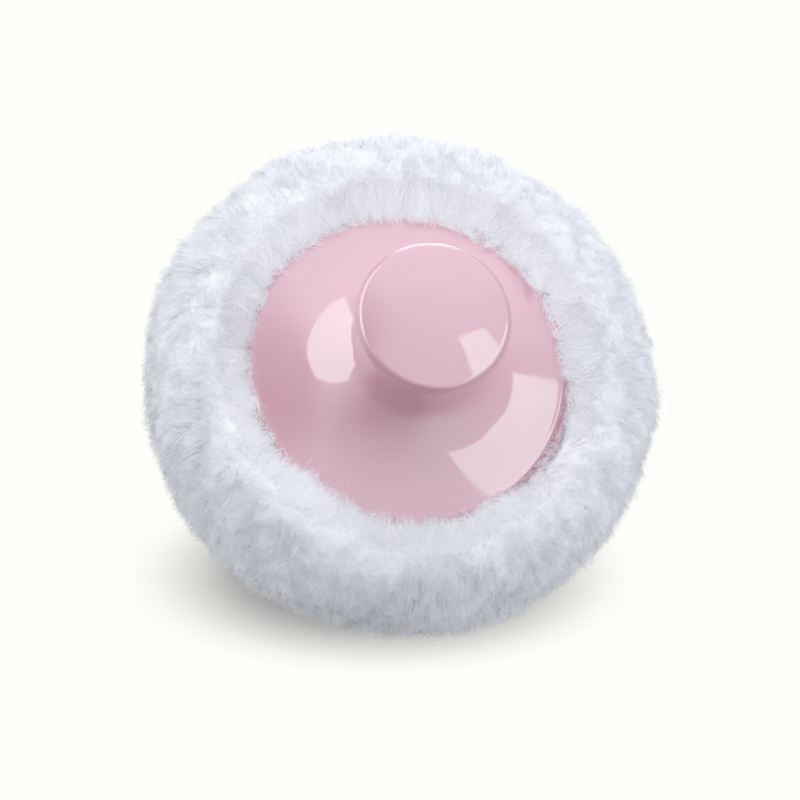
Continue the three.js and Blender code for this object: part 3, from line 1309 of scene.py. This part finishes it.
    def underfur(self, face_keep: float, ring_keep: float) -> None:
        """Make the dense foot of the pile, as a ring and a face.

        Args:
            face_keep: Share of its height that the face keeps when pressed.
            ring_keep: Share of its height that the ring keeps when pressed.
        """
        material = DenseUnderfur().material()
        stretch = self.line.along[self.line.along > self.rest_radius - self.face_margin][::2]
        flat, out = self.line.at(stretch)
        rim = self.handle.rim_radius + self.rim_gap
        clear = flat[:, 0] > np.where(stretch < self.crest_along, self.cloth_wall, rim)
        stretch, flat, out = stretch[clear], flat[clear], out[clear]
        outside = flat - out * self.depth(stretch)[:, None]
        round_ = (self.cloth_round, self.cloth_round)
        shoulder = arc(self.cloth_shoulder, round_, self.hem_angle, 0, steps=10)
        section = np.concatenate((outside, shoulder, [(self.cloth_wall, self.cloth_face)]))
        segments = self.underfur_segments
        points, corners, sizes = turned(section, segments)
        angle = np.arange(segments) * 2 * math.pi / segments
        rise = self.swell(stretch[:, None], angle)
        across = out[:, 0, None] * rise
        upper = points[:len(stretch) * segments].reshape(len(stretch), segments, 3)
        upper += np.stack((across * np.cos(angle), across * np.sin(angle), out[:, 1, None] * rise), axis=-1)
        ring = mesh_piece("underfur_ring", points, corners, sizes, material)
        self.lay(ring, ring_keep, "pile")
        section = np.array(self.face_section) + (0, self.underfur_depth)
        disc = mesh_piece("underfur_face", *turned(section, self.face_segments), material)
        self.lay(disc, face_keep)

    def build(self) -> None:
        """Make the underfur and the fibres in the place of the pile's node."""
        _, high = node_box("pile")
        self.waist_radius, self.crest_height = high[0], high[2]
        rng = np.random.default_rng(SEED)
        self.phases = rng.uniform(0, 2 * math.pi, (len(self.lumps), 2))
        points = self.outline()
        self.line = PileLine(points)
        self.crest_along = self.line.along[np.argmax(points[:, 1])]
        ring_keep = (self.crest_height - self.travel) / self.crest_height
        face_keep = (self.cloth_face - self.travel) / self.cloth_face - self.face_spare
        self.underfur(face_keep, ring_keep)
        material = BrushedPile().material()
        split, lip = self.rest_radius - self.face_margin, self.line.along[-1]
        ring = self.fibres(split, lip, self.ring, rng)
        sector = (ring.turn / (2 * math.pi) * self.sectors).astype(int) % self.sectors
        fade = (self.crest_along - self.shade_end, self.crest_along - self.shade_start)
        shading = rng.random(len(ring.along)) < np.interp(ring.along, fade, (1, 0)) * self.shade_share
        for number in range(self.sectors):
            for part, chosen in (("pile_ring", ~shading), ("pile_side", shading)):
                name = f"{part}_{number + 1:02d}"
                fibres = ring.pick((sector == number) & chosen)
                piece = self.strand_piece(name, fibres, material, self.ring.radius, part == "pile_side", rng)
                self.lay(piece, ring_keep)
        edge = self.fibres(lip - self.fringe_band, lip, self.fringe, rng)
        for number, half in enumerate((edge.turn < math.pi, edge.turn >= math.pi)):
            name = f"pile_fringe_{number + 1:02d}"
            piece = self.strand_piece(name, edge.pick(half), material, self.fringe.radius, False, rng)
            self.lay(piece, ring_keep)
        face = self.fibres(0, split, self.face, rng)
        piece = self.strand_piece("pile_face", face, material, self.face.radius, True, rng)
        self.lay(piece, face_keep)


def show_in_gloss(piece: bpy.types.Object) -> None:
    """Let only the gloss show a lit piece.

    Args:
        piece: The piece.
    """
    piece.visible_camera = piece.visible_diffuse = piece.visible_shadow = False
    piece.visible_transmission = piece.visible_volume_scatter = False
    piece.active_material.cycles.emission_sampling = "NONE"


@dataclass(frozen=True)
class Softbox:
    """A square lamp with a flat front, aimed at the handle."""

    name: str
    toward: tuple[float, float, float]
    distance: float
    size: float
    level: float

    def place(self, target: Vector) -> None:
        """Hang the lamp.

        Args:
            target: Point that it is aimed at, in metres.
        """
        data = bpy.data.lights.new(self.name, "AREA")
        data.size = self.size * MM
        data.energy = self.level * math.pi * data.size ** 2
        lamp = bpy.data.objects.new(self.name, data)
        toward = Vector(self.toward).normalized()
        lamp.location = target + toward * self.distance * MM
        lamp.rotation_euler = toward.to_track_quat("Z", "Y").to_euler()
        lamp.visible_camera = lamp.visible_glossy = False
        bpy.context.scene.collection.objects.link(lamp)


@dataclass(frozen=True)
class ReflectorCard:
    """A lit card that only the gloss shows, cut to the outline of its reflection."""

    name: str
    corners: tuple[tuple[float, float, float], ...]
    level: float
    distance: float = 650
    tint: str = "#E9FFFA"

    def place(self, target: Vector) -> None:
        """Hang the card.

        Args:
            target: Point that it faces, in metres.
        """
        toward = np.array(self.corners, float)
        toward /= np.linalg.norm(toward, axis=1)[:, None]
        points = toward * self.distance + np.array(target) / MM
        material = bare_material(self.name)
        tree = material.node_tree
        lit = {"Color": linear(self.tint), "Strength": self.level}
        light = add_node(tree, "ShaderNodeEmission", lit)
        add_node(tree, "ShaderNodeOutputMaterial", None, {"Surface": light.outputs[0]})
        card = mesh_piece(self.name, points, np.arange(len(points)), np.array([len(points)]), material)
        show_in_gloss(card)


@dataclass(frozen=True)
class Glow:
    """A soft-edged part of the light tent, brighter or darker than the rest.

    Attributes:
        toward: Direction of its middle.
        inside: Angle from the middle, in degrees, up to which it is full.
        outside: Angle at which it ends.
        level: What it adds to the tent's light.
    """

    toward: tuple[float, float, float]
    inside: float
    outside: float
    level: float


@dataclass(frozen=True)
class LightTent:
    """White tent round the puff that only the gloss shows, brighter where its lamps stand."""

    level: float
    glows: tuple[Glow, ...]
    least: float = 0.3
    radius: float = 700
    segments: int = 64
    tint: str = "#E8F7FF"

    def place(self, target: Vector) -> None:
        """Pitch the tent.

        Args:
            target: Point that it is pitched round, in metres.
        """
        material = bare_material("lit tent cloth")
        tree = material.node_tree
        spot = add_node(tree, "ShaderNodeTexCoord")
        unit = {"operation": "NORMALIZE"}
        toward = add_node(tree, "ShaderNodeVectorMath", unit, {0: spot.outputs["Object"]})
        total = None
        for glow in self.glows:
            across = {"operation": "DOT_PRODUCT", 1: Vector(glow.toward).normalized()}
            near = add_node(tree, "ShaderNodeVectorMath", across, {0: toward.outputs["Vector"]})
            edges = {
                "interpolation_type": "SMOOTHSTEP",
                "From Min": math.cos(math.radians(glow.outside)),
                "From Max": math.cos(math.radians(glow.inside)),
                "To Min": 0.0 if total else self.level,
                "To Max": glow.level + (0.0 if total else self.level),
            }
            share = add_node(tree, "ShaderNodeMapRange", edges, {"Value": near.outputs["Value"]})
            if total:
                both = {0: total, 1: share.outputs["Result"]}
                total = add_node(tree, "ShaderNodeMath", {"operation": "ADD"}, both).outputs["Value"]
            else:
                total = share.outputs["Result"]
        least = add_node(tree, "ShaderNodeMath", {"operation": "MAXIMUM", 1: self.least}, {0: total})
        colour = {"Color": linear(self.tint)}
        light = add_node(tree, "ShaderNodeEmission", colour, {"Strength": least.outputs["Value"]})
        add_node(tree, "ShaderNodeOutputMaterial", None, {"Surface": light.outputs[0]})
        outline = arc((0, 0), (self.radius, self.radius), 0, 90, steps=24)
        outline[-1, 0] = 0
        section = np.concatenate(([(0, 0)], outline))
        tent = mesh_piece("light tent", *turned(section, self.segments), material)
        tent.location = target
        show_in_gloss(tent)


@dataclass(frozen=True)
class TableFade:
    """Where the table fades into the background: a stretched ring round a middle."""

    middle: tuple[float, float]
    stretch: float
    start: float
    end: float

    def share(self, tree: bpy.types.NodeTree, place: bpy.types.NodeSocket) -> bpy.types.NodeSocket:
        """Draw the fade.

        Args:
            tree: Node tree of the table.
            place: Position on the table.

        Returns:
            Share of the background, 0 inside and 1 outside.
        """
        x, y = self.middle
        centred = {"Location": (-x / self.stretch * MM, -y * MM, 0), "Scale": (1 / self.stretch, 1, 1)}
        moved = add_node(tree, "ShaderNodeMapping", centred, {"Vector": place})
        away = add_node(tree, "ShaderNodeVectorMath", {"operation": "LENGTH"}, {0: moved.outputs["Vector"]})
        edges = {"interpolation_type": "SMOOTHSTEP", "From Min": self.start * MM, "From Max": self.end * MM}
        fade = add_node(tree, "ShaderNodeMapRange", edges, {"Value": away.outputs["Value"]})
        return fade.outputs["Result"]


@dataclass
class Studio:
    """Pale table, soft lamps and the camera where the photographer stood."""

    white: str = "#FFFEFA"
    table_grey: str = "#E2E1DE"
    table_bounce: str = "#E8E8EA"
    table_rings: tuple[float, ...] = (0, 60, 140, 400, 1500)
    table_thickness: float = 1
    table_segments: int = 64
    under_fade: TableFade = TableFade((0, 0), 1, 36, 43)
    front_fade: TableFade = TableFade((-2, -30), 2.6, 7.6, 18.5)
    ambient: float = 0.47
    lens: float = 157.2
    distance: float = 600
    azimuth: float = -28.4
    elevation: float = 69.94
    roll: float = 27.15
    aim_height: float = 25
    aim_right: float = -1.28
    aim_up: float = -5.15
    lamps: tuple[Softbox | ReflectorCard | LightTent, ...] = (
        Softbox("back softbox", (-0.1, 0.64, 0.76), 230, 350, 0.9),
        Softbox("front fill", (-0.15, -0.5, 0.85), 900, 450, 0.2),
        Softbox("low back softbox", (0.05, 0.94, 0.33), 900, 450, 2.2),
        Softbox("left softbox", (-0.94, 0.02, 0.33), 900, 450, 3.0),
        Softbox("right softbox", (0.94, -0.16, 0.33), 900, 450, 4.2),
        LightTent(
            1,
            (
                Glow((0, 0, 1), 48, 76, 2.2),
                Glow((0.1, 0.8, 0.6), 12, 50, 2),
                Glow((0.9, -0.1, 0.4), 15, 70, 0.2),
                Glow((-0.88, 0.25, 0.4), 15, 52, 1.5),
                Glow((0.25, -0.35, 0.9), 8, 45, 1.1),
                Glow((-0.33, 0.27, 0.9), 3, 20, -2.2),
                Glow((0.1, 0.98, 0.15), 8, 26, 4),
                Glow((-0.5, -0.75, 0.45), 10, 60, -2),
            ),
        ),
        ReflectorCard(
            "left card",
            (
                (-0.27, 0.77, 0.57), (-0.42, 0.51, 0.75), (-0.47, 0.36, 0.8),
                (-0.54, 0.18, 0.82), (-0.66, 0.06, 0.75), (-0.79, -0.03, 0.61),
                (-0.92, 0.14, 0.36), (-0.82, 0.48, 0.3), (-0.5, 0.79, 0.36),
            ),
            8.4,
        ),
        ReflectorCard(
            "right card",
            (
                (0.74, 0.25, 0.62), (0.5, 0.27, 0.82), (0.45, 0.16, 0.88), (0.37, 0.25, 0.89),
                (0.26, 0.2, 0.94), (0.36, -0.08, 0.93), (0.4, -0.37, 0.84), (0.65, -0.1, 0.75),
            ),
            8.3,
        ),
    )

    def table(self) -> None:
        """Make the table, which fades into the background away from the puff."""
        material = bare_material("pale matt table")
        tree = material.node_tree
        path = add_node(tree, "ShaderNodeLightPath")
        greys = {"Color1": linear(self.table_bounce), "Color2": linear(self.table_grey)}
        seen = add_node(tree, "ShaderNodeMixRGB", greys, {"Fac": path.outputs["Is Camera Ray"]})
        grey = add_node(tree, "ShaderNodeBsdfDiffuse", None, {"Color": seen.outputs["Color"]})
        spot = add_node(tree, "ShaderNodeNewGeometry")
        under = self.under_fade.share(tree, spot.outputs["Position"])
        front = self.front_fade.share(tree, spot.outputs["Position"])
        fade = add_node(tree, "ShaderNodeMath", {"operation": "MINIMUM"}, {0: under, 1: front})
        edges = {0: fade.outputs["Value"], 1: spot.outputs["Backfacing"]}
        either = add_node(tree, "ShaderNodeMath", {"operation": "MAXIMUM"}, edges)
        white = add_node(tree, "ShaderNodeEmission", {"Color": linear(self.white)})
        clear = add_node(tree, "ShaderNodeBsdfTransparent")
        sides = {0: spot.outputs["Backfacing"], 1: white.outputs[0], 2: clear.outputs[0]}
        away = add_node(tree, "ShaderNodeMixShader", None, sides)
        faded = {0: either.outputs["Value"], 1: path.outputs["Is Camera Ray"]}
        share = add_node(tree, "ShaderNodeMath", {"operation": "MULTIPLY"}, faded)
        both = {0: share.outputs["Value"], 1: grey.outputs[0], 2: away.outputs[0]}
        whole = add_node(tree, "ShaderNodeMixShader", None, both)
        add_node(tree, "ShaderNodeOutputMaterial", None, {"Surface": whole.outputs[0]})
        section = [(radius, 0) for radius in self.table_rings] + [(0, -self.table_thickness)]
        table = mesh_piece("table", *turned(np.array(section, float), self.table_segments), material)
        table.data.flip_normals()

    def surround(self) -> None:
        """Light the puff evenly from all round, before the pale background that the camera sees."""
        world = bpy.data.worlds.new("pale studio")
        world.use_nodes = True
        bpy.context.scene.world = world
        tree = world.node_tree
        tree.nodes.clear()
        path = add_node(tree, "ShaderNodeLightPath")
        shown = path.outputs["Is Camera Ray"]
        for kind in ("Is Glossy Ray", "Is Transmission Ray"):
            either = {0: shown, 1: path.outputs[kind]}
            shown = add_node(tree, "ShaderNodeMath", {"operation": "MAXIMUM"}, either).outputs["Value"]
        levels = {"To Min": self.ambient, "To Max": 1.0}
        strength = add_node(tree, "ShaderNodeMapRange", levels, {"Value": shown})
        white = {"Color": linear(self.white)}
        light = add_node(tree, "ShaderNodeBackground", white, {"Strength": strength.outputs["Result"]})
        add_node(tree, "ShaderNodeOutputWorld", None, {"Surface": light.outputs[0]})

    def camera(self) -> None:
        """Set the camera at the photograph's viewing angle."""
        turn, tilt, lean = (math.radians(angle) for angle in (self.azimuth, self.elevation, self.roll))
        back = Vector((math.sin(turn) * math.cos(tilt), -math.cos(turn) * math.cos(tilt), math.sin(tilt)))
        level = Vector((math.cos(turn), math.sin(turn), 0))
        upright = back.cross(level)
        right = level * math.cos(lean) + upright * math.sin(lean)
        up = upright * math.cos(lean) - level * math.sin(lean)
        aim = Vector((0, 0, self.aim_height)) + right * self.aim_right + up * self.aim_up
        eye = (aim + back * self.distance) * MM
        data = bpy.data.cameras.new("photo camera")
        data.lens = self.lens
        camera = bpy.data.objects.new("photo camera", data)
        camera.matrix_world = Matrix.Translation(eye) @ Matrix((right, up, back)).transposed().to_4x4()
        bpy.context.scene.collection.objects.link(camera)
        bpy.context.scene.camera = camera

    def build(self) -> None:
        """Set up the table, the light and the camera."""
        self.table()
        self.surround()
        for lamp in self.lamps:
            lamp.place(Vector((0, 0, self.aim_height * MM)))
        self.camera()
        bpy.context.scene.view_settings.view_transform = "Standard"


def main() -> None:
    """Load the frame, set up the studio and build the puff round the frame."""
    logging.basicConfig(level=logging.INFO, format="%(name)s %(message)s")
    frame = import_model()
    Studio().build()
    handle = Handle()
    handle.build()
    Pad().build(frame["nodes"])
    Plush(handle).build()


if __name__ == "__main__":
    main()
